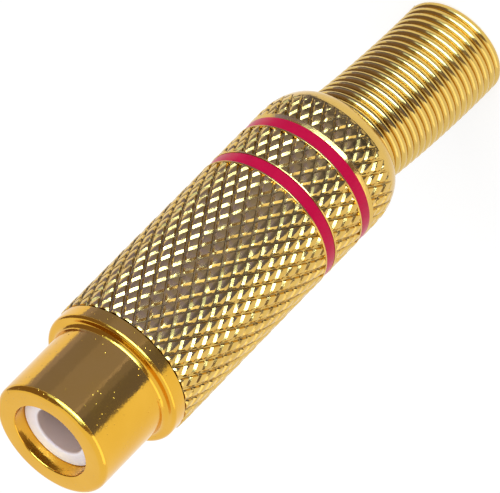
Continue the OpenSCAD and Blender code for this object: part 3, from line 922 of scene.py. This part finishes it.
# %% Floor and world
IN_SHOT_LIGHT, IN_SHOT_GREY = 0.74, 0.34
WORLD_LIGHT = 0.6
FLOOR_HALF = 4.0


def seen_directly(tree):
    """1 for rays of the camera, of reflections and through clear plastic, and 0 for the rest."""
    path = add_node(tree, "ShaderNodeLightPath")
    camera_ray, glossy_ray = path.outputs["Is Camera Ray"], path.outputs["Is Glossy Ray"]
    either = add_node(tree, MATH, {0: camera_ray, 1: glossy_ray}, operation="MAXIMUM")
    return add_node(tree, MATH, {0: either, 1: path.outputs["Is Transmission Ray"]}, operation="MAXIMUM")


floor_white = bpy.data.materials.new("pale_studio_floor")
floor_white.use_nodes = True
tree = floor_white.node_tree
tree.nodes.clear()
lit = add_node(tree, "ShaderNodeBsdfDiffuse", {"Color": linear("#EDEDED")})
soft = add_node(tree, "ShaderNodeBsdfDiffuse", {"Color": (IN_SHOT_GREY, IN_SHOT_GREY, IN_SHOT_GREY, 1)})
lift = add_node(tree, "ShaderNodeEmission", {"Strength": IN_SHOT_LIGHT})
in_shot = add_node(tree, "ShaderNodeAddShader", {0: soft, 1: lift})
choice = add_node(tree, "ShaderNodeMixShader", {0: seen_directly(tree), 1: lit, 2: in_shot})
add_node(tree, "ShaderNodeOutputMaterial", {"Surface": choice})

floor_mesh = bpy.data.meshes.new("studio_floor")
floor_mesh.from_pydata([(-FLOOR_HALF, -FLOOR_HALF, 0), (FLOOR_HALF, -FLOOR_HALF, 0),
                        (FLOOR_HALF, FLOOR_HALF, 0), (-FLOOR_HALF, FLOOR_HALF, 0)], [], [(0, 1, 2, 3)])
floor_mesh.materials.append(floor_white)
studio_floor = bpy.data.objects.new("studio_floor", floor_mesh)
bpy.context.scene.collection.objects.link(studio_floor)

world = bpy.data.worlds.new("studio_white")
bpy.context.scene.world = world
world.use_nodes = True
tree = world.node_tree
strength = add_node(tree, "ShaderNodeMix",
                    {0: seen_directly(tree), 2: WORLD_LIGHT, 3: 1.0}, data_type="FLOAT")
set_inputs(tree, tree.nodes["Background"], {"Color": (1, 1, 1, 1), "Strength": strength})
print("floor and world are white to the camera")

# %% [markdown]
# A dark mat on the floor draws the dark band along the connector. It has sectors round the connector and
# three zones from near to far, because each part of the connector sees another piece of it. The far zone,
# which the nose sees, is more violet.

# %% Dark mat
COOL, VIOLET = "#B4B8FF", "#9699FF"
MAT_HEIGHT = 0.0002
MAT_STEPS = 12
# Azimuth from and to, strength
MAT_SECTORS = ((45, 12, 0.34), (12, -2, 0.48), (-2, -5, 1.0),
               (-5, -56, 0.66), (-56, -90, 0.55), (-90, -104, 0.75))
# Distance from and to in metres, share of the strength, colour
MAT_ZONES = ((0.012, 0.025, 0.5, COOL), (0.025, 0.056, 1.0, COOL), (0.056, 0.5, 1.5, VIOLET))

for number, (start, end, strength) in enumerate(MAT_SECTORS):
    angles = [start + (end - start) * k / MAT_STEPS for k in range(MAT_STEPS + 1)]
    for part, (near, far, share, colour) in enumerate(MAT_ZONES):
        rows = [[facing(a, 0, d)[:2] + (MAT_HEIGHT,) for a in angles] for d in (near, far)]
        name = f"mat_sector_{number}_{part}"
        card(name, rows, glow(name + "_grey", strength * share, colour))

# %% [markdown]
# A dim warm wall behind the camera is the darker half of the surroundings. The main panels make the white
# glints, with a core panel where they are hardest, and the low, high, edge and soft panels let them fade. A
# dull gap in the main panels and the small wedge panel place the short white glint on the lip behind the
# rear ring. The side panel lights the flank at the lower right.

# %% Dim wall and bright panels
FLASH, WARM, PLAIN = "#B2D0FF", "#D0B4B8", "#FFFFFF"
PANEL_STEPS_ROUND, PANEL_STEPS_UP = 24, 8
# Name, azimuth from and to, elevation from and to, distance in metres, strength, colour
PANELS = (
    ("wall_panel", -140, 42, -2, 75, 0.9, 0.36, WARM),
    ("main_panel_low", -40, 12, -6, 2.5, 0.7, 11.0, FLASH),
    ("main_panel_gap", -40, -2, 2.5, 8, 0.7, 0.8, FLASH),
    ("main_panel_bright", -2, 12, 2.5, 8, 0.7, 9.0, FLASH),
    ("main_panel_high", -40, 12, 8, 32, 0.7, 13.0, FLASH),
    ("low_panel", -34, 8, -22, -6, 0.7, 4.0, FLASH),
    ("soft_panel", -56, -40, -6, 28, 0.7, 2.0, FLASH),
    ("edge_panel", 12, 20, -6, 26, 0.7, 2.0, FLASH),
    ("high_panel", -34, 20, 32, 60, 0.7, 2.2, FLASH),
    ("core_panel", -18, 4, 8, 16, 0.65, 26.0, FLASH),
    ("wedge_panel", 2, 18, 2, 8, 0.64, 18.0, FLASH),
    ("side_panel", 42, 100, -4, 30, 0.7, 1.7, PLAIN))

for name, start, end, low, high, distance, strength, colour in PANELS:
    azimuths = [start + (end - start) * k / PANEL_STEPS_ROUND for k in range(PANEL_STEPS_ROUND + 1)]
    elevations = [low + (high - low) * k / PANEL_STEPS_UP for k in range(PANEL_STEPS_UP + 1)]
    card(name, sweep(azimuths, elevations, distance), glow(name + "_light", strength, colour))

# %% [markdown]
# Two large soft lamps and the even light of the world light the connector at a plain level, so that the
# enamel and the plastic come out in the colours that were written. The lamps stay out of the reflections,
# which the panels make.

# %% Lamps
AIM_HEIGHT = 0.02


def soft_lamp(name, azimuth, elevation, distance, size, power):
    """A square soft lamp that points at the middle of the connector."""
    data = bpy.data.lights.new(name, "AREA")
    data.shape = "SQUARE"
    data.size = size
    data.energy = power
    lamp = bpy.data.objects.new(name, data)
    bpy.context.scene.collection.objects.link(lamp)
    lamp.location = facing(azimuth, elevation, distance)
    aim = Vector((0, 0, AIM_HEIGHT)) - lamp.location
    lamp.rotation_euler = aim.to_track_quat("-Z", "Y").to_euler()
    lamp.visible_camera = False
    lamp.visible_glossy = False
    print(name, "at", [round(value, 2) for value in lamp.location])


soft_lamp("key_lamp", azimuth=-30, elevation=55, distance=0.8, size=0.6, power=2.6)
soft_lamp("fill_lamp", azimuth=60, elevation=25, distance=0.9, size=0.7, power=1.0)
